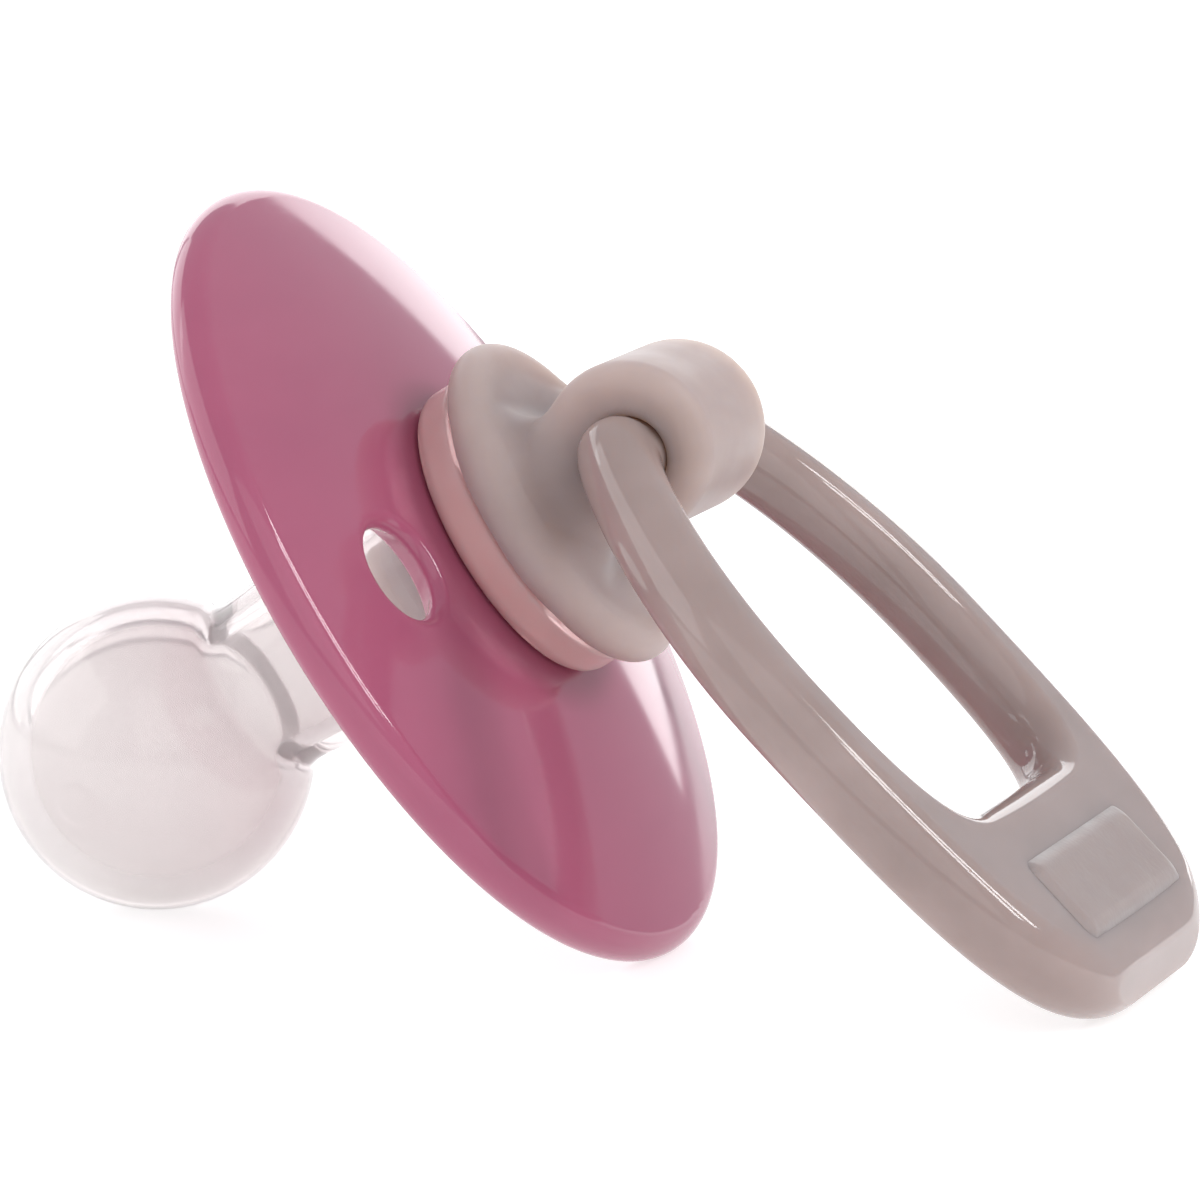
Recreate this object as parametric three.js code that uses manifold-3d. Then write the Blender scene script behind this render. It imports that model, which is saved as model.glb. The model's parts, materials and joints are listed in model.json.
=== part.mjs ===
// Soother (baby pacifier) lying on a table, in millimetres, +Z up, +X from the teat towards the ring.
//
// Four moulded pieces: a round shield, a hollow silicone teat whose flange sits on the shield's
// front, a plug whose barbed stem is pressed into the teat's neck, and a ring that swings in the
// plug's eye. The shield, teat and plug are drawn along the nipple axis, the local +Z of one
// group, with local +Y level and local -X upwards. The ring is drawn flat in a group of its own
// at the pin's centre, which is on the nipple axis.
// The object rests on three places: the teat's bulb, the shield's rim and the end of the ring.

import * as THREE from 'three';
import { mergeVertices } from 'three/addons/utils/BufferGeometryUtils.js';
import Module from 'manifold-3d';

const wasm = await Module();
wasm.setup();

// ---- Driving dimensions -------------------------------------------------------------------

const GAP = 0.3; // clearance kept between pieces that touch on the real object

const shieldSize = {
  radius: 21,
  thickness: 2.4,
  domeRadius: 81, // radius of the gently domed front
  neckHole: 5.9, // radius of the hole that the teat's neck passes through
};

const ventSize = {
  radius: 2.45,
  fromAxis: 12.2,
  edgeRound: 0.8,
  turnDegrees: -3.5, // turn of the pair of vents about the nipple axis
};

const teatSize = {
  bulbRadius: 7.7,
  bulbCentre: -21.47, // along the nipple axis, from the middle of the shield's front
  wall: 1.46,
  neckAtBulb: 4.35,
  neckAtShield: 5.6,
  flangeRadius: 7.6,
  flangeTop: 1.75,
};

const plugSize = {
  stemRadius: 3.0,
  barbRadius: 3.7,
  barbTop: -3.9,
  barbTip: -6.3,
  headBack: 2.05,
  headRadius: 8.55,
  headFront: 4.15,
  eyeCentre: 8.7, // centre of the eye along the nipple axis
  eyeLift: 0.3, // how far the eye's centre stands above that axis, so the pin lies low in the bore
  eyeRadius: 4.0,
  eyeHalfLength: 5.25,
  eyeBore: 2.45,
};

const ringSize = {
  thickness: 3.7, // also the diameter of the pin in the eye
  edgeRound: 1.2,
  reach: 34.6, // from the pin's centre to the far end
  halfWidth: 15.6,
  openingReach: 23.7,
  openingHalfWidth: 11.5,
  shoulder: 5.7, // where the pin ends and the ring's shoulders begin
  padCentre: 29.15,
  padLength: 15.6, // across the ring
  padWidth: 4.5,
  padHeight: 0.25,
  padSlope: 0.6, // width of the slope all round the pad
};

// ---- Materials ----------------------------------------------------------------------------

const shieldPlastic = new THREE.MeshStandardMaterial({ color: 0xb85a7c, roughness: 0.18, metalness: 0 });
const clearSilicone = new THREE.MeshStandardMaterial({
  color: 0xf1e8e6,
  roughness: 0.12,
  metalness: 0,
  transparent: true,
  opacity: 0.35,
});
const plugPlastic = new THREE.MeshStandardMaterial({ color: 0xdccfcd, roughness: 0.3, metalness: 0 });
const ringPlastic = new THREE.MeshStandardMaterial({ color: 0xdacdca, roughness: 0.2, metalness: 0 });

// ---- Solids and booleans ------------------------------------------------------------------

function solid(geometry) {
  const bare = geometry.clone();
  bare.deleteAttribute('normal');
  bare.deleteAttribute('uv');
  const merged = mergeVertices(bare, 1e-4);
  const mesh = new wasm.Mesh({
    numProp: 3,
    vertProperties: new Float32Array(merged.attributes.position.array),
    triVerts: new Uint32Array(merged.index.array),
  });
  return new wasm.Manifold(mesh);
}

function geometryOf(manifold) {
  const mesh = manifold.getMesh();
  const geometry = new THREE.BufferGeometry();
  geometry.setAttribute('position', new THREE.BufferAttribute(new Float32Array(mesh.vertProperties), 3));
  geometry.setIndex(new THREE.BufferAttribute(new Uint32Array(mesh.triVerts), 1));
  geometry.computeVertexNormals();
  return geometry;
}

function namedMesh(name, geometry, material) {
  const mesh = new THREE.Mesh(geometry, material);
  mesh.name = name;
  return mesh;
}

// Drops points that repeat the one before, so that a lathe profile has no zero-length steps.
function withoutRepeats(points) {
  return points.filter((point, i) => i === 0 || point.distanceTo(points[i - 1]) > 1e-4);
}

// A solid of revolution about local +Z from a profile of (radius, height) points.
function turned(points, segments) {
  const profile = withoutRepeats(points);
  const geometry = new THREE.LatheGeometry(profile, segments);
  geometry.rotateX(Math.PI / 2);
  return geometry;
}

// ---- Shield -------------------------------------------------------------------------------

// Height of the domed front at a distance from the axis; the back is the same sphere, thinner.
function domeHeight(rho) {
  const r = shieldSize.domeRadius;
  return Math.sqrt(r * r - rho * rho) - r;
}

// The middle of the rim's rounding: a half circle that closes the front and back surfaces.
const rimRound = shieldSize.thickness / 2;
const midDomeRadius = shieldSize.domeRadius - rimRound;
const rimAngle = Math.acos((shieldSize.radius - rimRound) / midDomeRadius);
const rimCentre = new THREE.Vector2(
  midDomeRadius * Math.cos(rimAngle),
  midDomeRadius * Math.sin(rimAngle) - shieldSize.domeRadius,
);

function shieldProfile() {
  const front = shieldSize.domeRadius;
  const back = front - shieldSize.thickness;
  const frontStart = Math.acos(shieldSize.neckHole / front);
  const backEnd = Math.acos(shieldSize.neckHole / back);
  const path = new THREE.Path();
  path.absarc(0, -front, front, frontStart, rimAngle, true);
  path.absarc(rimCentre.x, rimCentre.y, rimRound, rimAngle, rimAngle - Math.PI, true);
  path.absarc(0, -front, back, rimAngle, backEnd, false);
  const points = path.getPoints(3);
  points.push(points[0].clone());
  return points.reverse();
}

// A vent is cut by a cylinder that flares at both faces, which rounds the vent's edges.
function ventCutter() {
  const { radius, edgeRound } = ventSize;
  const half = shieldSize.thickness / 2;
  const beyond = half + 1;
  const flare = radius + edgeRound;
  const path = new THREE.Path();
  path.moveTo(0, -beyond);
  path.lineTo(flare, -beyond);
  path.lineTo(flare, -half);
  path.absarc(flare, -half + edgeRound, edgeRound, -Math.PI / 2, -Math.PI, true);
  path.absarc(flare, half - edgeRound, edgeRound, Math.PI, Math.PI / 2, true);
  path.lineTo(flare, beyond);
  path.lineTo(0, beyond);
  return turned(path.getPoints(2), 24);
}

function makeShield() {
  let body = solid(turned(shieldProfile(), 60));
  const tilt = Math.asin(ventSize.fromAxis / shieldSize.domeRadius);
  for (const side of [-1, 1]) {
    const cutter = ventCutter();
    cutter.translate(0, 0, midDomeRadius);
    cutter.rotateX(-side * tilt);
    cutter.translate(0, 0, -shieldSize.domeRadius);
    cutter.rotateZ(THREE.MathUtils.degToRad(ventSize.turnDegrees));
    body = body.subtract(solid(cutter));
  }
  return namedMesh('shield', geometryOf(body), shieldPlastic);
}

// ---- Teat ---------------------------------------------------------------------------------

// The profile runs from the bulb's outer tip, up the neck and round the flange, then down the
// bore to the inner tip, so the teat is one hollow skin that is open at the flange.
function teatProfile() {
  const { bulbRadius, bulbCentre, wall, neckAtBulb, neckAtShield, flangeRadius, flangeTop } = teatSize;
  const innerRadius = bulbRadius - wall;
  const innerNeck = neckAtBulb - wall;
  const blend = 0.45; // size of the small fillet between the bulb and the neck
  const outerJoin = Math.acos((neckAtBulb + blend) / bulbRadius);
  const innerJoin = Math.acos((innerNeck + blend) / innerRadius);
  const outerCorner = bulbCentre + bulbRadius * Math.sin(Math.acos(neckAtBulb / bulbRadius));
  const innerCorner = bulbCentre + innerRadius * Math.sin(Math.acos(innerNeck / innerRadius));
  const underFlangeIn = domeHeight(neckAtShield) + GAP;
  const underFlangeOut = domeHeight(flangeRadius) + GAP;
  const flangeRound = 0.5;
  const boreRadius = plugSize.stemRadius + GAP;
  const grooveRadius = plugSize.barbRadius + GAP;
  const grooveTop = plugSize.barbTop + GAP;
  const grooveBottom = plugSize.barbTip - GAP;
  const path = new THREE.Path();
  path.absarc(0, bulbCentre, bulbRadius, -Math.PI / 2, outerJoin, false);
  path.quadraticCurveTo(neckAtBulb, outerCorner + 0.1, neckAtBulb + 0.05, outerCorner + 1.2);
  path.bezierCurveTo(neckAtBulb + 0.25, outerCorner + 4, neckAtShield, -8, neckAtShield, -4);
  path.lineTo(neckAtShield, underFlangeIn);
  path.lineTo(flangeRadius, underFlangeOut);
  path.lineTo(flangeRadius, flangeTop - flangeRound);
  path.absarc(flangeRadius - flangeRound, flangeTop - flangeRound, flangeRound, 0, Math.PI / 2, false);
  path.lineTo(boreRadius, flangeTop);
  path.lineTo(boreRadius, grooveTop + (grooveRadius - boreRadius) / 2);
  path.lineTo(grooveRadius, grooveTop);
  path.lineTo(grooveRadius - 0.3, grooveBottom);
  path.bezierCurveTo(grooveRadius - 0.5, -9, innerNeck + 0.1, innerCorner + 4, innerNeck + 0.05, innerCorner + 1.2);
  path.quadraticCurveTo(innerNeck, innerCorner + 0.1, innerRadius * Math.cos(innerJoin),
    bulbCentre + innerRadius * Math.sin(innerJoin));
  path.absarc(0, bulbCentre, innerRadius, innerJoin, -Math.PI / 2, true);
  const points = withoutRepeats(path.getPoints(4));
  points[0].x = 0;
  points[points.length - 1].x = 0;
  return points;
}

function makeTeat() {
  return namedMesh('teat', turned(teatProfile(), 40), clearSilicone);
}

// ---- Plug ---------------------------------------------------------------------------------

// Stem with a barb that holds it in the teat's neck, and the round head with a rolled lip.
function plugBodyProfile() {
  const { stemRadius, barbRadius, barbTop, barbTip, headBack, headRadius, headFront } = plugSize;
  const lipRound = (headFront - headBack) / 2;
  const lipCentre = (headFront + headBack) / 2;
  const path = new THREE.Path();
  path.moveTo(0, barbTip);
  path.lineTo(stemRadius - 0.7, barbTip);
  path.lineTo(barbRadius, barbTop - 0.6);
  path.lineTo(barbRadius, barbTop);
  path.lineTo(stemRadius, barbTop);
  path.lineTo(stemRadius, headBack);
  path.lineTo(headRadius - lipRound, headBack);
  path.absarc(headRadius - lipRound, lipCentre, lipRound, -Math.PI / 2, Math.PI / 2, false);
  path.lineTo(headRadius - lipRound - 0.6, headFront);
  path.quadraticCurveTo(headRadius - 2.4, headFront - 0.3, headRadius - 3.2, headFront - 0.1);
  path.lineTo(0, headFront - 0.1);
  const points = path.getPoints(3);
  points[0].x = 0;
  return points;
}

// The web that carries the eye: a turned flare whose section is stretched along the eye.
function webGeometry() {
  const foot = plugSize.headFront - 0.6;
  const top = plugSize.eyeCentre;
  const footRadius = 6.4;
  const topRadius = 3.3;
  const stretchAtFoot = 1.12;
  const stretchAtTop = 1.5;
  const path = new THREE.Path();
  path.moveTo(0, foot);
  path.lineTo(footRadius, foot);
  path.bezierCurveTo(footRadius - 1.2, foot + 1.0, topRadius + 0.2, foot + 2.4, topRadius, top);
  path.lineTo(0, top);
  const geometry = turned(path.getPoints(5), 32);
  const position = geometry.attributes.position;
  for (let i = 0; i < position.count; i += 1) {
    const t = (position.getZ(i) - foot) / (top - foot);
    position.setY(i, position.getY(i) * THREE.MathUtils.lerp(stretchAtFoot, stretchAtTop, t));
  }
  return geometry;
}

// A bar along local Y through the eye's centre, with rounded ends.
function eyeBar() {
  const { eyeRadius, eyeHalfLength, eyeCentre, eyeLift } = plugSize;
  const endRound = 1.0;
  const path = new THREE.Path();
  path.moveTo(0, -eyeHalfLength);
  path.lineTo(eyeRadius - endRound, -eyeHalfLength);
  path.absarc(eyeRadius - endRound, -eyeHalfLength + endRound, endRound, -Math.PI / 2, 0, false);
  path.absarc(eyeRadius - endRound, eyeHalfLength - endRound, endRound, 0, Math.PI / 2, false);
  path.lineTo(0, eyeHalfLength);
  const geometry = turned(path.getPoints(3), 32);
  geometry.rotateX(-Math.PI / 2);
  geometry.translate(-eyeLift, 0, eyeCentre);
  return geometry;
}

// The eye's bore, which opens a little at both mouths.
function eyeBoreCutter() {
  const { eyeBore, eyeHalfLength, eyeCentre, eyeLift } = plugSize;
  const mouthRound = 0.45;
  const beyond = eyeHalfLength + 4;
  const path = new THREE.Path();
  path.moveTo(0, -beyond);
  path.lineTo(eyeBore + mouthRound, -beyond);
  path.lineTo(eyeBore + mouthRound, -eyeHalfLength);
  path.absarc(eyeBore + mouthRound, -eyeHalfLength + mouthRound, mouthRound, -Math.PI / 2, -Math.PI, true);
  path.absarc(eyeBore + mouthRound, eyeHalfLength - mouthRound, mouthRound, Math.PI, Math.PI / 2, true);
  path.lineTo(eyeBore + mouthRound, beyond);
  path.lineTo(0, beyond);
  const geometry = turned(path.getPoints(2), 28);
  geometry.rotateX(-Math.PI / 2);
  geometry.translate(-eyeLift, 0, eyeCentre);
  return geometry;
}

function makePlug() {
  const body = solid(turned(plugBodyProfile(), 44))
    .add(solid(webGeometry()))
    .add(solid(eyeBar()))
    .subtract(solid(eyeBoreCutter()));
  return namedMesh('plug', geometryOf(body), plugPlastic);
}

// ---- Ring ---------------------------------------------------------------------------------

// The flat outline: local +X runs from the pin to the far end, Y across. Near the pin both edges
// run straight across, a pin's diameter apart.
function ringOutline() {
  const { thickness, reach, halfWidth, openingReach, openingHalfWidth, shoulder } = ringSize;
  const half = thickness / 2;
  const widest = 14.5; // where the sides are widest apart
  const endHalf = 4.4; // half the straight cut at the far end
  const openingEndHalf = 7.5; // half the straight far edge of the opening
  const outline = new THREE.Shape();
  outline.moveTo(-half, shoulder);
  outline.bezierCurveTo(-half, 8.6, 5, halfWidth, widest, halfWidth);
  outline.bezierCurveTo(24, halfWidth, reach - 1.4, 13, reach, endHalf);
  outline.lineTo(reach, -endHalf);
  outline.bezierCurveTo(reach - 1.4, -13, 24, -halfWidth, widest, -halfWidth);
  outline.bezierCurveTo(5, -halfWidth, -half, -8.6, -half, -shoulder);
  const opening = new THREE.Path();
  opening.moveTo(half, -shoulder);
  opening.bezierCurveTo(2.4, -8.2, 7, -11.4, widest, -openingHalfWidth);
  opening.bezierCurveTo(19, -openingHalfWidth, openingReach, -11.9, openingReach, -openingEndHalf);
  opening.lineTo(openingReach, openingEndHalf);
  opening.bezierCurveTo(openingReach, 11.9, 19, openingHalfWidth, widest, openingHalfWidth);
  opening.bezierCurveTo(7, 11.4, 2.4, 8.2, half, shoulder);
  outline.holes.push(opening);
  return outline;
}

function ringFrame() {
  const { thickness, edgeRound } = ringSize;
  const geometry = new THREE.ExtrudeGeometry(ringOutline(), {
    depth: thickness - 2 * edgeRound,
    bevelThickness: edgeRound,
    bevelSize: edgeRound,
    bevelOffset: -edgeRound,
    bevelSegments: 4,
    curveSegments: 10,
  });
  geometry.translate(0, 0, edgeRound - thickness / 2);
  return geometry;
}

// The room that the square-edged bar is cut away from, and the round pin that takes its place.
function pinRoom() {
  const side = ringSize.thickness + 1;
  return new THREE.BoxGeometry(side, 2 * ringSize.shoulder, side);
}

function ringPin() {
  const overlap = 2.2; // how far the pin runs on inside each shoulder
  const length = 2 * (ringSize.shoulder + overlap);
  return new THREE.CylinderGeometry(ringSize.thickness / 2, ringSize.thickness / 2, length, 32);
}

// The raised pad on the ring's upper face, with a small slope round its edge.
function ringPad() {
  const { padCentre, padLength, padWidth, padHeight, padSlope, thickness } = ringSize;
  const corner = 1.0;
  const sunk = 0.8; // how deep the pad's solid runs into the ring
  const x0 = padCentre - padWidth / 2;
  const x1 = padCentre + padWidth / 2;
  const y1 = padLength / 2;
  const outline = new THREE.Shape();
  outline.absarc(x1 - corner, y1 - corner, corner, 0, Math.PI / 2, false);
  outline.absarc(x0 + corner, y1 - corner, corner, Math.PI / 2, Math.PI, false);
  outline.absarc(x0 + corner, -y1 + corner, corner, Math.PI, 1.5 * Math.PI, false);
  outline.absarc(x1 - corner, -y1 + corner, corner, 1.5 * Math.PI, 2 * Math.PI, false);
  const geometry = new THREE.ExtrudeGeometry(outline, {
    depth: sunk - padHeight,
    bevelThickness: padHeight,
    bevelSize: padSlope,
    bevelOffset: -padSlope,
    bevelSegments: 2,
    curveSegments: 4,
  });
  geometry.translate(0, 0, thickness / 2 - sunk + padHeight);
  return geometry;
}

function makeRing() {
  const body = solid(ringFrame())
    .subtract(solid(pinRoom()))
    .add(solid(ringPin()))
    .add(solid(ringPad()));
  return namedMesh('ring', geometryOf(body), ringPlastic);
}

// ---- Resting pose -------------------------------------------------------------------------

// The bulb and the rim's rounding stand on one plane. In the upright plane through the nipple
// axis that is the common tangent of two circles, which gives the axis's tilt above level.
const restDown = new THREE.Vector2(teatSize.bulbCentre - rimCentre.y, rimCentre.x);
const nippleTilt =
  Math.atan2(restDown.y, -restDown.x) - Math.asin((teatSize.bulbRadius - rimRound) / restDown.length());
const rimDrop = rimCentre.x * Math.cos(nippleTilt) - rimCentre.y * Math.sin(nippleTilt);
const shieldHeight = rimRound + rimDrop; // of the middle of the shield's front above the table
const pinHeight = shieldHeight + plugSize.eyeCentre * Math.sin(nippleTilt);

// The ring leans down from its pin until the rounded edge of its far end meets the table.
const { reach: ringReach, thickness: ringThickness, edgeRound: ringRound } = ringSize;
const endEdge = new THREE.Vector2(ringReach - ringRound, ringThickness / 2 - ringRound);
const ringSlope = Math.asin((pinHeight - ringRound) / endEdge.length()) - Math.atan2(endEdge.y, endEdge.x);

const teatShieldPlug = new THREE.Group();
teatShieldPlug.position.set(0, 0, shieldHeight);
teatShieldPlug.rotation.y = Math.PI / 2 - nippleTilt;
teatShieldPlug.add(makeShield(), makeTeat(), makePlug());

const swingingRing = new THREE.Group();
swingingRing.position.set(plugSize.eyeCentre * Math.cos(nippleTilt), 0, pinHeight);
swingingRing.rotation.y = ringSlope;
swingingRing.add(makeRing());

const soother = new THREE.Group();
soother.add(teatShieldPlug, swingingRing);
soother.updateMatrixWorld(true);

// The row's origin is the middle of the bottom of the whole object's box.
const box = new THREE.Box3().setFromObject(soother, true);
soother.position.set(-(box.min.x + box.max.x) / 2, -(box.min.y + box.max.y) / 2, -box.min.z);
soother.updateMatrixWorld(true);

export default soother;
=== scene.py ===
import json
import math

import bpy
import numpy as np
from mathutils import Matrix, Vector


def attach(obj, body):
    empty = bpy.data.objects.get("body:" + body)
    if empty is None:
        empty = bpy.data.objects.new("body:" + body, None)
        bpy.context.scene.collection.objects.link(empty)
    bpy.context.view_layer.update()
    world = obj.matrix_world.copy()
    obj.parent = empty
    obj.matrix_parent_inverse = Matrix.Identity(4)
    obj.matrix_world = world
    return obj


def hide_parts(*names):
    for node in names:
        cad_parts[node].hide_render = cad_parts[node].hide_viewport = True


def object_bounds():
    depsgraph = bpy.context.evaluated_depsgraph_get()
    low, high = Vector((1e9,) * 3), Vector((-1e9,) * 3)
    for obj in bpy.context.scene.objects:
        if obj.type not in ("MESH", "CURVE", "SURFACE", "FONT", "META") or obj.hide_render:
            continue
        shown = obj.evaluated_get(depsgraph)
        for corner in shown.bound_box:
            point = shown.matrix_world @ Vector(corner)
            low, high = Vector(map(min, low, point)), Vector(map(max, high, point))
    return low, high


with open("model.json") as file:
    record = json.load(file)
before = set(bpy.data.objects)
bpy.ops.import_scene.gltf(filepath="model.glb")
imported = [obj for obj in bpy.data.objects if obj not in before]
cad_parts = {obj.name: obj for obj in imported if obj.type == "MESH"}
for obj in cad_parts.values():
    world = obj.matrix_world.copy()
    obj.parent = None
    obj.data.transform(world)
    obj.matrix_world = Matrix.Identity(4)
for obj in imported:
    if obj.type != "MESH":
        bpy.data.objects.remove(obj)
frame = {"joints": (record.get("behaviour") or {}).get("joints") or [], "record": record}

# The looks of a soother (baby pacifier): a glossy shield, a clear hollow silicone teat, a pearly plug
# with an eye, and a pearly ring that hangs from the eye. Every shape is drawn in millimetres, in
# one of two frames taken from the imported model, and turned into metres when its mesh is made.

cad_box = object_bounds()

# ---- Frames ---------------------------------------------------------------------------------

MM = 0.001
BULB_RADIUS = 7.7
PIN_HEIGHT = 8.7  # the pin's centre along the nipple axis, above the middle of the shield's front
BULB_CENTRE = -21.47  # the bulb's centre on the same axis

pin = Vector(frame["joints"][0]["pos_m"])
# The bulb rests on the table, so the height of the pin above the bulb's centre gives the tilt.
tilt = math.asin((pin.z - BULB_RADIUS * MM) / ((PIN_HEIGHT - BULB_CENTRE) * MM))
nipple_axis = Vector((math.cos(tilt), 0, math.sin(tilt)))
ring_normal = Vector(next(m["axis"] for m in frame["record"]["mounts"] if m["name"] == "ring_pad"))
level = Vector((0, 1, 0))


def local_frame(origin, x_axis, z_axis):
    """The matrix from millimetres in a piece's own frame to metres in the row frame."""
    turn = Matrix((x_axis, level, z_axis)).transposed().to_4x4()
    return Matrix.Translation(origin) @ turn @ Matrix.Scale(MM, 4)


# Local +Z is the nipple axis and local -X is up. The origin is the middle of the shield's front.
nipple_frame = local_frame(pin - PIN_HEIGHT * MM * nipple_axis, level.cross(nipple_axis), nipple_axis)
# Local +X runs from the pin along the ring and local +Z is the normal of its upper face.
ring_frame = local_frame(pin, level.cross(ring_normal), ring_normal)

# ---- Meshes ---------------------------------------------------------------------------------


def mesh_object(name, points, faces, place, normals=None):
    """A smooth mesh piece from points in millimetres in a local frame."""
    matrix = np.array(place)
    world = np.asarray(points) @ matrix[:3, :3].T + matrix[:3, 3]
    mesh = bpy.data.meshes.new(name)
    mesh.from_pydata(world.tolist(), [], faces)
    mesh.validate()
    mesh.shade_smooth()
    if normals is not None:
        turned = np.asarray(normals) @ matrix[:3, :3].T
        turned /= np.linalg.norm(turned, axis=1, keepdims=True)
        mesh.normals_split_custom_set_from_vertices(turned.tolist())
    piece = bpy.data.objects.new(name, mesh)
    bpy.context.scene.collection.objects.link(piece)
    return piece


def gradient(field, points):
    """The slope of a field at each point, by central differences."""
    reach = 0.01
    slope = np.empty_like(points)
    for axis in range(3):
        step = np.zeros(3)
        step[axis] = reach
        slope[:, axis] = field(*(points + step).T) - field(*(points - step).T)
    return slope / (2 * reach)


def onto_surface(field, points, rounds):
    """Points moved along the slope onto the field's zero surface."""
    longest = 0.2
    for _ in range(rounds):
        slope = gradient(field, points)
        square = np.maximum((slope**2).sum(1), 0.05)
        move = -field(*points.T)[:, None] * slope / square[:, None]
        points = points + np.clip(move, -longest, longest)
    return points


def skin(field, low, high, step):
    """Quads over the zero surface of a field that is negative inside, and their points.

    Each cell of a grid that the surface crosses gets one point, at the mean of the crossings on
    the cell's edges. Each grid edge that crosses the surface gets one quad from its four cells.
    """
    low = np.array(low, float)
    counts = np.ceil((np.array(high, float) - low) / step).astype(int) + 1
    places = np.meshgrid(*[low[i] + step * np.arange(counts[i]) for i in range(3)], indexing="ij")
    value = field(*places)
    inside = value < 0
    cells = counts - 1
    total = np.zeros((*cells, 3))
    number = np.zeros(cells)
    crossings = []
    for axis in range(3):
        near = [slice(None)] * 3
        far = [slice(None)] * 3
        near[axis] = slice(0, -1)
        far[axis] = slice(1, None)
        crossed = inside[tuple(near)] != inside[tuple(far)]
        crossings.append(crossed)
        share = value[tuple(near)] / np.where(crossed, value[tuple(near)] - value[tuple(far)], 1)
        others = [i for i in range(3) if i != axis]
        for a in (0, 1):
            for b in (0, 1):
                part = [slice(None)] * 3
                part[others[0]] = slice(a, a + cells[others[0]])
                part[others[1]] = slice(b, b + cells[others[1]])
                hit = crossed[tuple(part)]
                offset = np.zeros((*cells, 3))
                offset[..., axis] = share[tuple(part)]
                offset[..., others[0]] = a
                offset[..., others[1]] = b
                total += offset * hit[..., None]
                number += hit
    used = number > 0
    label = -np.ones(cells, int)
    label[used] = np.arange(used.sum())
    corner = np.argwhere(used)
    points = low + step * (corner + total[used] / number[used][:, None])
    quads = []
    for axis in range(3):
        b, c = (axis + 1) % 3, (axis + 2) % 3
        where = np.argwhere(crossings[axis])
        where = where[(where[:, b] > 0) & (where[:, c] > 0)]
        around = []
        for db, dc in ((1, 1), (0, 1), (0, 0), (1, 0)):
            cell = where.copy()
            cell[:, b] -= db
            cell[:, c] -= dc
            around.append(label[tuple(cell.T)])
        quad = np.stack(around, 1)
        outwards = inside[tuple(where.T)]
        quads.append(np.where(outwards[:, None], quad, quad[:, ::-1]))
    return points, np.concatenate(quads)


def relaxed(points, quads):
    """Each point at the middle of its neighbours, which evens out the mesh."""
    total = np.zeros_like(points)
    number = np.zeros(len(points))
    for side in range(4):
        a, b = quads[:, side], quads[:, (side + 1) % 4]
        np.add.at(total, a, points[b])
        np.add.at(number, a, 1)
        np.add.at(total, b, points[a])
        np.add.at(number, b, 1)
    return total / number[:, None]


def carved(name, field, low, high, step, place):
    """A piece from a field in local millimetres, with its points exactly on the zero surface."""
    points, quads = skin(field, low, high, step)
    points = onto_surface(field, points, 4)
    for _ in range(4):
        points = onto_surface(field, relaxed(points, quads), 2)
    return mesh_object(name, points, quads.tolist(), place, gradient(field, points))


def union_round(a, b, r):
    """Both solids, with a fillet of radius r where they meet."""
    rounding = np.hypot(np.maximum(r - a, 0), np.maximum(r - b, 0))
    return np.maximum(r, np.minimum(a, b)) - rounding


def common_round(a, b, r):
    """What two solids share, with an edge rounded by radius r where they meet."""
    rounding = np.hypot(np.maximum(r + a, 0), np.maximum(r + b, 0))
    return np.minimum(-r, np.maximum(a, b)) + rounding


def turned(profile, around):
    """Points and faces of a surface of revolution about local +Z, closed at both ends on the axis."""
    profile = np.array(profile)
    angle = 2 * math.pi * np.arange(around) / around
    inner = profile[1:-1]
    rows = len(inner)
    ring_points = np.stack(
        [
            inner[:, 0, None] * np.cos(angle),
            inner[:, 0, None] * np.sin(angle),
            np.repeat(inner[:, 1, None], around, 1),
        ],
        -1,
    ).reshape(-1, 3)
    points = np.vstack([ring_points, [0, 0, profile[0, 1]], [0, 0, profile[-1, 1]]])
    faces = []
    for i in range(rows - 1):
        for j in range(around):
            k = (j + 1) % around
            faces.append((i * around + j, i * around + k, (i + 1) * around + k, (i + 1) * around + j))
    first, last = rows * around, rows * around + 1
    for j in range(around):
        k = (j + 1) % around
        faces.append((first, k, j))
        faces.append((last, (rows - 1) * around + j, (rows - 1) * around + k))
    return points, faces


def arc(centre, radius, start, end, count):
    """Points on an arc of a profile, with its angles in degrees from the radius direction."""
    angle = np.radians(np.linspace(start, end, count))
    return np.stack([centre[0] + radius * np.cos(angle), centre[1] + radius * np.sin(angle)], 1)


def bezier(p0, p1, p2, p3, count):
    """Points on a cubic curve."""
    t = np.linspace(0, 1, count)[:, None]
    p0, p1, p2, p3 = (np.array(p, float) for p in (p0, p1, p2, p3))
    return (1 - t) ** 3 * p0 + 3 * (1 - t) ** 2 * t * p1 + 3 * (1 - t) * t**2 * p2 + t**3 * p3


def smooth_step(low, high, value):
    """0 below low, 1 above high, smooth between."""
    t = np.clip((value - low) / (high - low), 0, 1)
    return t * t * (3 - 2 * t)


# ---- Shield ---------------------------------------------------------------------------------

SHIELD_RADIUS = 21.0
SHIELD_THICKNESS = 2.4
DOME_RADIUS = 81.0
NECK_HOLE = 5.52
VENT_RADIUS = 2.45
VENT_FROM_AXIS = 12.2
VENT_EDGE = 0.7
VENT_STRAIGHT = 0.7  # depth of the vent below the front face before it flares towards the back
VENT_FLARE = 0.9
VENT_TURN = math.radians(-3.5)


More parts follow.
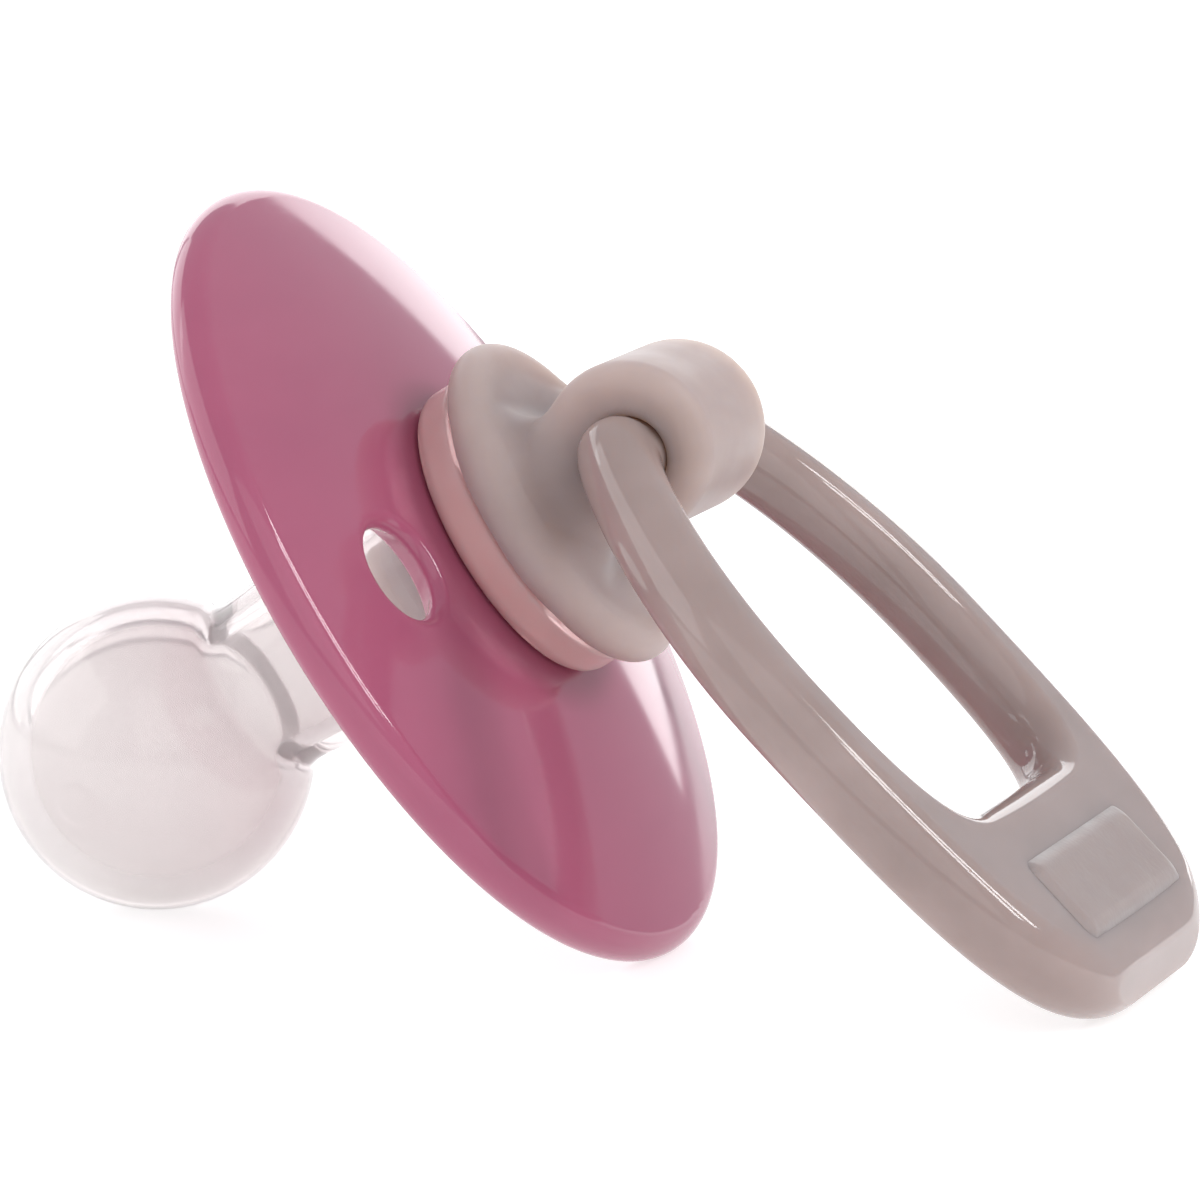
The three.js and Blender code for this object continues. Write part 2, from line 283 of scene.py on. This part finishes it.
def shield_field(x, y, z):
    """A domed plate of even thickness with a round rim, a neck hole and two flared vents."""
    half = SHIELD_THICKNESS / 2
    middle = DOME_RADIUS - half
    rim_radius = SHIELD_RADIUS - half
    rim_height = math.sqrt(middle**2 - rim_radius**2) - DOME_RADIUS
    rho = np.hypot(x, y)
    over_plate = rho * (rim_height + DOME_RADIUS) < rim_radius * (z + DOME_RADIUS)
    to_dome = np.abs(np.sqrt(rho**2 + (z + DOME_RADIUS) ** 2) - middle)
    to_rim = np.hypot(rho - rim_radius, z - rim_height)
    plate = np.where(over_plate, to_dome, to_rim) - half
    plate = common_round(plate, NECK_HOLE - rho, 0.4)
    lean = math.asin(VENT_FROM_AXIS / DOME_RADIUS)
    to_front = np.sqrt(rho**2 + (z + DOME_RADIUS) ** 2) - DOME_RADIUS
    for side in (-1, 1):
        along = side * (y * math.cos(VENT_TURN) - x * math.sin(VENT_TURN))
        across = x * math.cos(VENT_TURN) + y * math.sin(VENT_TURN)
        out = along * math.cos(lean) - (z + DOME_RADIUS) * math.sin(lean)
        depth = np.clip(-to_front - VENT_STRAIGHT, 0, SHIELD_THICKNESS) * VENT_FLARE
        plate = common_round(plate, VENT_RADIUS + depth - np.hypot(out, across), VENT_EDGE)
    return plate


def make_shield():
    reach = SHIELD_RADIUS + 0.6
    low = (-reach, -reach, -6.2)
    high = (reach, reach, 0.6)
    return carved("shield_shell", shield_field, low, high, 0.22, nipple_frame)


# ---- Teat -----------------------------------------------------------------------------------

TEAT_CLEAR = 0.03  # between the soft teat and the hard pieces that hold it
WALL = 1.46
NECK_AT_BULB = 4.35
NECK_AT_SHIELD = NECK_HOLE - TEAT_CLEAR
FLANGE_RADIUS = 7.65
FLANGE_TOP = 2.05
STEM_RADIUS = 3.0
BARB_RADIUS = 3.7
BARB_TOP = -3.9
BARB_TIP = -6.3
GATE_FROM_TIP = math.radians(75.5)  # where the mould's gate left its mark on the bulb
GATE_AROUND = math.radians(-86)
GATE_EDGE = (0.85, 1.2)  # the mark's top ends and its side ends at these distances from its middle
GATE_HEIGHT = 0.09


def dome_height(rho):
    """Height of the shield's front face at a distance from the axis."""
    return math.sqrt(DOME_RADIUS**2 - rho**2) - DOME_RADIUS


def bulb_and_neck(radius, neck, count):
    """The bulb's arc from its tip to where the fillet to a neck of the given radius begins."""
    blend = 0.45
    join = math.degrees(math.acos((neck + blend) / radius))
    return arc((0, BULB_CENTRE), radius, -90, join, count)


def teat_profile():
    """The outer skin from the bulb's tip to the flange, then the bore back to the inner tip."""
    inner_radius = BULB_RADIUS - WALL
    inner_neck = NECK_AT_BULB - WALL
    corner = BULB_CENTRE + math.sqrt(BULB_RADIUS**2 - NECK_AT_BULB**2)
    inner_corner = BULB_CENTRE + math.sqrt(inner_radius**2 - inner_neck**2)
    flange_round = 0.45
    bore = STEM_RADIUS + TEAT_CLEAR
    groove = BARB_RADIUS + TEAT_CLEAR
    outer = bulb_and_neck(BULB_RADIUS, NECK_AT_BULB, 90)
    neck_start = (NECK_AT_BULB + 0.05, corner + 1.2)
    fillet = bezier(outer[-1], (NECK_AT_BULB + 0.1, corner), (NECK_AT_BULB, corner + 0.5), neck_start, 12)
    neck_bend = (NECK_AT_BULB + 0.25, corner + 4)
    neck = bezier(neck_start, neck_bend, (NECK_AT_SHIELD, -8), (NECK_AT_SHIELD, -4), 50)
    low_radius = 0.8
    under = dome_height(FLANGE_RADIUS - low_radius) + TEAT_CLEAR
    top = FLANGE_TOP - TEAT_CLEAR
    low_round = arc((FLANGE_RADIUS - low_radius, under + low_radius), low_radius, -90, 0, 16)
    top_round = arc((FLANGE_RADIUS - flange_round, top - flange_round), flange_round, 0, 90, 10)
    bore_side = [
        (bore + 0.15, top),
        (bore, top - 0.15),
        (bore, BARB_TOP + 0.4),
        (groove, BARB_TOP + TEAT_CLEAR),
        (groove, BARB_TOP - 0.7),
    ]
    inner = bulb_and_neck(inner_radius, inner_neck, 80)[::-1]
    bore_end = (groove - 0.3, BARB_TIP - TEAT_CLEAR)
    cone_end = (inner_neck + 0.05, inner_corner + 1.2)
    cone = bezier(bore_end, (groove - 0.5, -9), (inner_neck + 0.1, inner_corner + 4), cone_end, 40)
    fillet_bend = (inner_neck + 0.1, inner_corner)
    inner_fillet = bezier(cone[-1], (inner_neck, inner_corner + 0.5), fillet_bend, inner[0], 12)
    parts = [
        outer,
        fillet[1:],
        neck[1:],
        [(NECK_AT_SHIELD, dome_height(NECK_AT_SHIELD) + TEAT_CLEAR)],
        low_round,
        top_round,
        bore_side,
        cone,
        inner_fillet[1:-1],
        inner,
    ]
    return np.vstack([np.array(part, float) for part in parts])


def with_gate_mark(points):
    """The teat's points with a small raised disc on the side of the bulb, left by the mould's gate."""
    mark = np.array([
        math.sin(GATE_FROM_TIP) * math.cos(GATE_AROUND),
        math.sin(GATE_FROM_TIP) * math.sin(GATE_AROUND),
        -math.cos(GATE_FROM_TIP),
    ])
    away = points - np.array([0, 0, BULB_CENTRE])
    distance = np.linalg.norm(away, axis=1)
    unit = away / distance[:, None]
    off_centre = BULB_RADIUS * np.linalg.norm(unit - mark, axis=1)
    on_bulb = np.abs(distance - BULB_RADIUS) < 0.02
    raised = GATE_HEIGHT * smooth_step(GATE_EDGE[1], GATE_EDGE[0], off_centre) * on_bulb
    return points + unit * raised[:, None]


def make_teat():
    """The teat, with the faces of its flange marked for a material of their own."""
    around = 256
    profile = teat_profile()
    points, faces = turned(profile, around)
    piece = mesh_object("teat_silicone", with_gate_mark(points), faces, nipple_frame)
    flange_rows = np.flatnonzero((profile[1:-1, 0] > NECK_AT_SHIELD + 0.2) & (profile[1:-1, 1] > -2))
    first, last = flange_rows[0] * around, flange_rows[-1] * around
    for polygon in piece.data.polygons[first:last]:
        polygon.material_index = 1
    return piece


# ---- Plug -----------------------------------------------------------------------------------

HEAD_BACK = 2.05
HEAD_RADIUS = 8.55
HEAD_FRONT = 4.15
EYE_CENTRE = 8.7
EYE_LIFT = 0.4
EYE_RADIUS = 4.2
EYE_HALF_LENGTH = 5.3
EYE_BORE = 1.95
BORE_LIFT = 0.04
WEB_HALF_WIDTH = 3.1  # of the web that carries the eye, across the pin
DISH_DEPTH = 0.07  # of the shallow groove round the front of the head


def plug_field(x, y, z):
    """A lipped round head on a barbed stem, swept up into an eye whose bore runs across."""
    rho = np.hypot(x, y)
    lip = (HEAD_FRONT - HEAD_BACK) / 2
    head_middle = (HEAD_FRONT + HEAD_BACK) / 2
    to_lip = np.hypot(np.maximum(rho - (HEAD_RADIUS - lip), 0), z - head_middle) - lip
    dish = DISH_DEPTH * np.exp(-(((rho - (HEAD_RADIUS - 1.9)) / 0.6) ** 2))
    head = np.maximum(to_lip, z - HEAD_FRONT + dish)
    up = x + EYE_LIFT
    bar = common_round(
        np.hypot(up, z - EYE_CENTRE) - EYE_RADIUS,
        np.abs(y) - EYE_HALF_LENGTH,
        1.3,
    )
    web_side = common_round(np.abs(up) - WEB_HALF_WIDTH, np.abs(y) - (EYE_HALF_LENGTH - 0.35), 1.6)
    web = np.maximum(web_side, np.maximum(z - EYE_CENTRE, HEAD_BACK + 0.6 - z))
    eye = union_round(bar, web, 0.6)
    towards_ends = y**2 / np.maximum(rho**2, 1)
    body = np.maximum(union_round(head, eye, 1.6 + 2.4 * towards_ends), HEAD_BACK - z)
    bore = EYE_BORE - np.hypot(x + BORE_LIFT, z - EYE_CENTRE)
    body = common_round(body, bore, 0.45)
    barb_radius = BARB_RADIUS - np.clip((BARB_TOP - 0.6 - z) * 0.78, 0, 1.4)
    barb = np.maximum(rho - barb_radius, np.maximum(z - BARB_TOP, BARB_TIP - z))
    stem = np.maximum(rho - STEM_RADIUS, np.maximum(z - HEAD_FRONT + 1, BARB_TIP - z))
    return np.minimum(body, np.minimum(barb, stem))


def make_plug():
    reach = HEAD_RADIUS + 0.5
    low = (-reach, -reach, BARB_TIP - 0.5)
    high = (reach, reach, EYE_CENTRE + EYE_RADIUS + 0.5)
    return carved("plug_body", plug_field, low, high, 0.17, nipple_frame)


# ---- Ring -----------------------------------------------------------------------------------

RING_THICKNESS = 3.7
RING_REACH = 34.8
RING_HALF_WIDTH = 15.7
OPENING_REACH = 23.35
OPENING_HALF_WIDTH = 11.5
SHOULDER = 5.7
KNUCKLE = (-2.2, 6.0)  # the ring is thicker just outside the eye, which keeps the eye in the middle
WIDEST = 14.5
RING_MIDDLE = 12.5  # a point inside the opening that both edges are seen from
CUT_SLOPE = 1.05  # of the cut across the ring's far end, as height over length
PAD_CENTRE = 29.15
PAD_LENGTH = 16.4
PAD_WIDTH = 4.7
PAD_TOP = 2.1


def straight(p0, p1, count):
    """Points on a straight line."""
    return np.linspace(p0, p1, count)


def outer_edge():
    """Half of the ring's outer edge, from the middle of the pin to the middle of the far end."""
    half = RING_THICKNESS / 2
    widest = (WIDEST, RING_HALF_WIDTH)
    end = (RING_REACH, 4.9)
    return np.vstack([
        straight((-half, 0), (-half, SHOULDER - 0.3), 60)[:-1],
        bezier((-half, SHOULDER - 0.3), (-half, SHOULDER), KNUCKLE, KNUCKLE, 40)[:-1],
        bezier(KNUCKLE, (KNUCKLE[0], 7.6), (5, RING_HALF_WIDTH), widest, 120),
        bezier(widest, (26, RING_HALF_WIDTH), (RING_REACH - 0.5, 14.2), end, 160)[1:],
        straight(end, (RING_REACH, 0), 60)[1:],
    ])


def inner_edge():
    """Half of the opening's edge, in the same direction."""
    half = RING_THICKNESS / 2
    end = (OPENING_REACH, 6.0)
    return np.vstack([
        straight((half, 0), (half, SHOULDER - 0.3), 60)[:-1],
        bezier((half, SHOULDER - 0.3), (2.5, 7.4), (7, 11.4), (WIDEST, OPENING_HALF_WIDTH), 120),
        bezier((WIDEST, OPENING_HALF_WIDTH), (19, OPENING_HALF_WIDTH), (OPENING_REACH, 11.2), end, 120)[1:],
        straight(end, (OPENING_REACH, 0), 60)[1:],
    ])


def edge_radius(edge, angle):
    """Distance of an edge from the ring's middle, by the angle away from the far end."""
    bearing = np.arctan2(edge[:, 1], edge[:, 0] - RING_MIDDLE)
    distance = np.hypot(edge[:, 0] - RING_MIDDLE, edge[:, 1])
    order = np.argsort(bearing)
    return np.interp(np.abs(angle), bearing[order], distance[order])


def make_ring():
    """The ring as a closed loop of sections, each from its outer edge over the top and back."""
    stations = 600
    across = 76
    half = RING_THICKNESS / 2
    angle = np.linspace(-math.pi, math.pi, stations, endpoint=False)
    outer = edge_radius(outer_edge(), angle)
    inner = edge_radius(inner_edge(), angle)
    width = outer - inner
    towards_bar = smooth_step(math.radians(168), math.radians(130), np.abs(angle))
    at_end = smooth_step(math.radians(32), math.radians(12), np.abs(angle))
    top_round = half + (2.0 - half) * towards_bar + 2.4 * at_end
    under_round = half + (1.5 - half) * towards_bar
    inner_round = half + (1.4 - half) * towards_bar
    turn = np.linspace(0, 2 * math.pi, 2 * across, endpoint=False)
    share = (1 - np.cos(turn)) / 2
    from_outer = width[:, None] * share
    from_inner = width[:, None] * (1 - share)
    on_top = turn < math.pi
    outer_round = np.where(on_top, top_round[:, None], under_round[:, None])
    outer_rise = 1 - np.clip(from_outer / outer_round, 0, 1)
    inner_rise = 1 - np.clip(from_inner / inner_round[:, None], 0, 1)
    height = half * np.sqrt(1 - outer_rise**2) * np.sqrt(1 - inner_rise**2)
    radius = outer[:, None] - from_outer
    x = RING_MIDDLE + radius * np.cos(angle)[:, None]
    y = radius * np.sin(angle)[:, None]
    # The far end is cut by a slope above, which leaves a crisp line across it.
    cut = (RING_REACH - x) * CUT_SLOPE
    soft = 0.05
    sloped = 0.5 * (height + cut - np.sqrt((height - cut) ** 2 + soft**2))
    z = np.where(on_top, np.maximum(sloped, 0), -height)
    points = np.stack([x, y, z], -1).reshape(-1, 3)
    i, j = np.meshgrid(np.arange(stations), np.arange(2 * across), indexing="ij")
    i2, j2 = (i + 1) % stations, (j + 1) % (2 * across)
    rows = 2 * across
    quads = np.stack([i * rows + j, i2 * rows + j, i2 * rows + j2, i * rows + j2], -1).reshape(-1, 4)
    return mesh_object("ring_handle", points, quads.tolist(), ring_frame)


def pad_field(x, y, z):
    """A low plateau with rounded upper edges, sunk into the ring's upper face."""
    slope = 1.7
    lean = math.hypot(1, slope)
    base = RING_THICKNESS / 2  # height at which the pad's walls are PAD_WIDTH apart
    side_x = (np.abs(x - PAD_CENTRE) - PAD_WIDTH / 2 + (z - base) * slope) / lean
    side_y = (np.abs(y) - PAD_LENGTH / 2 + (z - base) * slope) / lean
    walls = common_round(side_x, side_y, 0.35)
    return np.maximum(common_round(walls, z - PAD_TOP, 0.18), 1.5 - z)


def make_pad():
    low = (PAD_CENTRE - PAD_WIDTH / 2 - 1.2, -PAD_LENGTH / 2 - 1.2, 1.3)
    high = (PAD_CENTRE + PAD_WIDTH / 2 + 1.2, PAD_LENGTH / 2 + 1.2, PAD_TOP + 0.4)
    return carved("ring_thumb_pad", pad_field, low, high, 0.1, ring_frame)


# ---- Materials ------------------------------------------------------------------------------


class Nodes:
    """Short calls for a material's node tree."""

    def __init__(self, name):
        self.material = bpy.data.materials.new(name)
        self.material.use_nodes = True
        self.tree = self.material.node_tree
        self.shader = self.tree.nodes["Principled BSDF"]
        self.place = self.tree.nodes.new("ShaderNodeTexCoord").outputs["Object"]

    def link(self, a, b):
        self.tree.links.new(a, b)

    def noise(self, size, detail=3.0, stretch=(1, 1, 1)):
        """Noise whose features are about size metres across."""
        mapping = self.tree.nodes.new("ShaderNodeMapping")
        mapping.inputs["Scale"].default_value = stretch
        self.link(self.place, mapping.inputs["Vector"])
        node = self.tree.nodes.new("ShaderNodeTexNoise")
        node.inputs["Scale"].default_value = 1 / size
        node.inputs["Detail"].default_value = detail
        self.link(mapping.outputs["Vector"], node.inputs["Vector"])
        return node.outputs["Fac"]

    def spread(self, value, low, high, start=0.3, end=0.7):
        """A value mapped from start..end to low..high."""
        node = self.tree.nodes.new("ShaderNodeMapRange")
        node.inputs["From Min"].default_value = start
        node.inputs["From Max"].default_value = end
        node.inputs["To Min"].default_value = low
        node.inputs["To Max"].default_value = high
        self.link(value, node.inputs["Value"])
        return node.outputs["Result"]

    def mixed(self, share, first, second):
        """A colour between two colours."""
        node = self.tree.nodes.new("ShaderNodeMix")
        node.data_type = "RGBA"
        self.link(share, node.inputs["Factor"])
        node.inputs["A"].default_value = (*first, 1)
        node.inputs["B"].default_value = (*second, 1)
        return node.outputs["Result"]

    def bumped(self, height, distance, strength=1.0, below=None):
        """A bump of that many metres, on top of another bump if one is given."""
        node = self.tree.nodes.new("ShaderNodeBump")
        node.inputs["Strength"].default_value = strength
        node.inputs["Distance"].default_value = distance
        self.link(height, node.inputs["Height"])
        if below is not None:
            self.link(below, node.inputs["Normal"])
        return node.outputs["Normal"]

    def set(self, **values):
        """Constants on the shader's own sockets, with _ for a space in a socket's name."""
        for name, value in values.items():
            self.shader.inputs[name.replace("_", " ")].default_value = value


def moulded_plastic(name, light, dark, roughness, subsurface, radius, ripple, grain=0.0, shine=0.5):
    """Moulded plastic: faint flow in the colour, uneven polish, fine scratches and soft ripples."""
    n = Nodes(name)
    n.set(IOR=1.5, Subsurface_Weight=subsurface, Subsurface_Radius=radius, Subsurface_Scale=1.0)
    n.set(Specular_IOR_Level=shine)
    flow = n.noise(0.006, 3.0, (1, 0.45, 1.3))
    n.link(n.mixed(n.spread(flow, 0, 1), light, dark), n.shader.inputs["Base Color"])
    polish = n.spread(n.noise(0.004, 4.0), roughness * 0.8, roughness * 1.3)
    wear = n.spread(n.noise(0.0016, 2.0, (1, 0.12, 0.6)), 0.0, 0.025, 0.5, 0.85)
    total = n.tree.nodes.new("ShaderNodeMath")
    total.operation = "ADD"
    n.link(polish, total.inputs[0])
    n.link(wear, total.inputs[1])
    n.link(total.outputs["Value"], n.shader.inputs["Roughness"])
    normal = n.bumped(n.noise(0.009, 1.0), ripple)
    if grain:
        normal = n.bumped(n.noise(0.00035, 2.0), grain, below=normal)
    n.link(normal, n.shader.inputs["Normal"])
    return n.material


def clear_silicone():
    """Clear silicone, very slightly warm, with faint flow lines and a little bloom."""
    n = Nodes("clear_silicone")
    n.set(IOR=1.22, Transmission_Weight=0.77, Coat_Weight=0.5, Coat_IOR=1.35, Coat_Roughness=0.12)
    haze = n.tree.nodes.new("ShaderNodeVolumeAbsorption")
    haze.inputs["Color"].default_value = (0.66, 0.57, 0.57, 1)
    haze.inputs["Density"].default_value = 110
    n.link(haze.outputs["Volume"], n.tree.nodes["Material Output"].inputs["Volume"])
    tone = n.spread(n.noise(0.01, 2.0), 0, 1)
    n.link(n.mixed(tone, (0.965, 0.935, 0.93), (0.975, 0.947, 0.94)), n.shader.inputs["Base Color"])
    n.link(n.spread(n.noise(0.003, 3.0), 0.08, 0.12), n.shader.inputs["Roughness"])
    n.link(n.bumped(n.noise(0.006, 1.0), 0.00004), n.shader.inputs["Normal"])
    return n.material


def flange_silicone():
    """The teat's flange: the same silicone, pressed and hazy, with the pink of the shield that shines
    through it painted into its colour.
    """
    n = Nodes("flange_silicone")
    n.set(IOR=1.41, Transmission_Weight=0.4, Subsurface_Weight=0.5, Subsurface_Radius=(0.002, 0.001, 0.001))
    n.set(Subsurface_Scale=1.0)
    tone = n.spread(n.noise(0.004, 2.0), 0, 1)
    # Painted light: the salmon tone is not the silicone's own colour but the shield's pink seen through the
    # translucent flange, painted in.
    n.link(n.mixed(tone, (0.96, 0.51, 0.51), (0.98, 0.55, 0.54)), n.shader.inputs["Base Color"])
    n.link(n.spread(n.noise(0.002, 3.0), 0.16, 0.26), n.shader.inputs["Roughness"])
    n.link(n.bumped(n.noise(0.003, 1.0), 0.00003), n.shader.inputs["Normal"])
    return n.material


def dress(piece, material, body, node=None):
    """Gives a piece its material, its body and the CAD node that it stands for."""
    piece.data.materials.append(material)
    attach(piece, body)
    if node:
        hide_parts(node)


shield_plastic = moulded_plastic(
    "shield_plastic",
    light=(0.385, 0.094, 0.168),
    dark=(0.36, 0.086, 0.158),
    roughness=0.08,
    subsurface=0.2,
    radius=(0.0008, 0.0003, 0.0004),
    ripple=0.00001,
)
plug_plastic = moulded_plastic(
    "plug_plastic",
    light=(0.41, 0.329, 0.32),
    dark=(0.35, 0.279, 0.269),
    roughness=0.4,
    subsurface=1.0,
    radius=(0.0090, 0.0072, 0.0056),
    ripple=0.00003,
    shine=0.15,
)
ring_plastic = moulded_plastic(
    "ring_plastic",
    light=(0.36, 0.281, 0.268),
    dark=(0.305, 0.235, 0.222),
    roughness=0.06,
    subsurface=0.7,
    radius=(0.0040, 0.0030, 0.0024),
    ripple=0.00002,
)
pad_plastic = moulded_plastic(
    "pad_plastic",
    light=(0.345, 0.27, 0.258),
    dark=(0.325, 0.254, 0.243),
    roughness=0.34,
    subsurface=0.7,
    radius=(0.0040, 0.0030, 0.0024),
    ripple=0.00002,
    grain=0.00002,
    shine=0.3,
)

dress(make_shield(), shield_plastic, "soother", "shield")
teat = make_teat()
dress(teat, clear_silicone(), "soother", "teat")
teat.data.materials.append(flange_silicone())
dress(make_plug(), plug_plastic, "soother", "plug")
dress(make_ring(), ring_plastic, "ring", "ring")
dress(make_pad(), pad_plastic, "ring")

# ---- Stage, light and camera ----------------------------------------------------------------

centre = (Vector(cad_box[0]) + Vector(cad_box[1])) / 2


def direction(azimuth, elevation):
    """A unit vector, with the azimuth from +Y towards +X, both angles in degrees."""
    a, e = math.radians(azimuth), math.radians(elevation)
    return Vector((math.sin(a) * math.cos(e), math.cos(a) * math.cos(e), math.sin(e)))


def make_floor():
    side = 6.0
    points = [(-side, -side, 0), (side, -side, 0), (side, side, 0), (-side, side, 0)]
    floor = mesh_object("floor", points, [(0, 1, 2, 3)], Matrix.Identity(4))
    n = Nodes("floor_white")
    tone = n.spread(n.noise(0.08, 2.0), 0, 1)
    n.link(n.mixed(tone, (0.5, 0.5, 0.5), (0.48, 0.48, 0.48)), n.shader.inputs["Base Color"])
    n.set(Roughness=0.6, Emission_Color=(1, 1, 1, 1), Emission_Strength=0.68)
    floor.data.materials.append(n.material)


def softbox(name, azimuths, elevations, distance, radiance):
    """A soft panel that faces the object and spans these angles, as bright as radiance says."""
    azimuth, elevation = sum(azimuths) / 2, sum(elevations) / 2
    light = bpy.data.lights.new(name, "AREA")
    light.shape = "RECTANGLE"
    width = 2 * distance * math.tan(math.radians(azimuths[1] - azimuth))
    light.size = width * math.cos(math.radians(elevation))
    light.size_y = 2 * distance * math.tan(math.radians(elevations[1] - elevation))
    light.energy = radiance * math.pi * light.size * light.size_y
    lamp = bpy.data.objects.new(name, light)
    towards = direction(azimuth, elevation)
    lamp.location = centre + distance * towards
    lamp.rotation_euler = towards.to_track_quat("Z", "Y").to_euler()
    bpy.context.scene.collection.objects.link(lamp)


make_floor()
softbox("back_panel", (-40, 2), (2, 28), 1.0, 1.5)
softbox("back_fill", (-80, -42), (2, 34), 1.1, 1.5)
softbox("low_strip", (2, 11), (0.5, 5), 1.0, 2.2)
for low, high in ((70, 77), (83, 90)):
    softbox("side_window", (low, high), (24, 49), 1.0, 13.0)
softbox("left_fill", (-145, -75), (5, 50), 1.2, 1.4)
softbox("front_fill", (110, 180), (10, 60), 1.2, 0.7)

world = bpy.data.worlds.new("studio")
world.use_nodes = True
world.node_tree.nodes["Background"].inputs["Color"].default_value = (0.95, 0.97, 1.0, 1)
world.node_tree.nodes["Background"].inputs["Strength"].default_value = 0.62
bpy.context.scene.world = world

CAMERA_AZIMUTH = 17.47  # round from the -Y side towards +X
CAMERA_ELEVATION = 9.55
CAMERA_ROLL = 1.58
CAMERA_DISTANCE = 0.45
CAMERA_LENS = 282.95
aim = centre + Vector((0.4, 0.8, -0.9)) * MM

camera_data = bpy.data.cameras.new("camera")
camera_data.lens = CAMERA_LENS
camera_data.sensor_width = 36
camera_data.clip_end = 20
camera = bpy.data.objects.new("camera", camera_data)
back = -direction(-CAMERA_AZIMUTH, -CAMERA_ELEVATION)
camera.location = aim + CAMERA_DISTANCE * back
facing = back.to_track_quat("Z", "Y").to_matrix()
camera.rotation_euler = (facing @ Matrix.Rotation(math.radians(CAMERA_ROLL), 3, "Z")).to_euler()
bpy.context.scene.collection.objects.link(camera)
bpy.context.scene.camera = camera
bpy.context.scene.view_settings.view_transform = "Standard"
